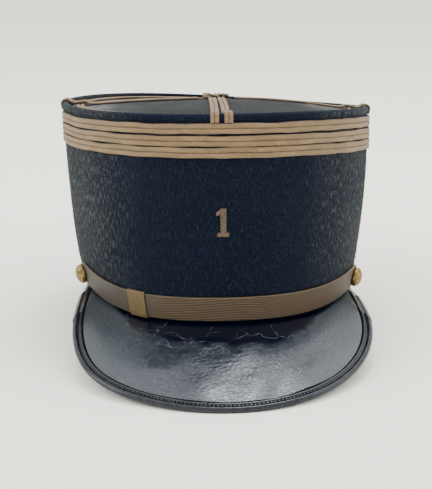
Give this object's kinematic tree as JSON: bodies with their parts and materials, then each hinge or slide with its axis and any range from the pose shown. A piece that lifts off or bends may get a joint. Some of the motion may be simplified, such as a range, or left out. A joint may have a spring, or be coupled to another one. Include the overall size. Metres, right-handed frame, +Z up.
{
  "type": "kepi cap",
  "caption": "Stiff oval kepi cap with a recessed top, tan braid, a plain numeral, a lace chin strap with a slide, brass buttons and a curved patent-leather visor.",
  "frame": {"origin": "on the surface that the cap rests on, under the middle of its footprint", "axes": "+X to the wearer's left, which is the right as seen from the front; -Y to the front, where the visor is; +Z up"},
  "size_m": [0.188, 0.2698, 0.137],
  "materials": {
    "navy_wool": "fulled wool felt, matt, with a short greyish nap and pale lint",
    "tan_braid": "woven two-ridged soutache braid, aged tan",
    "brown_lace": "lace band ribbed along its length, dull brown",
    "ochre_lace": "lace ribbed across the strap, ochre",
    "aged_brass": "stamped and worn, softly shining",
    "black_patent_leather": "varnished black, glossy, finely crazed",
    "tan_thread": "satin-stitch embroidery"
  },
  "bodies": {
    "root": {"crown_wall": "navy_wool", "top_plate": "navy_wool", "galon_1": "tan_braid", "galon_2": "tan_braid", "galon_3": "tan_braid", "top_ring": "tan_braid", "arm_front_a": "tan_braid", "arm_front_b": "tan_braid", "arm_right_a": "tan_braid", "arm_right_b": "tan_braid", "arm_back_a": "tan_braid", "arm_back_b": "tan_braid", "arm_left_a": "tan_braid", "arm_left_b": "tan_braid", "centre_knot": "tan_braid", "chin_strap": "brown_lace", "strap_slide": "ochre_lace", "button_left": "aged_brass", "button_right": "aged_brass", "visor": "black_patent_leather", "visor_binding": "black_patent_leather", "numeral": "tan_thread"}
  },
  "joints": []
}
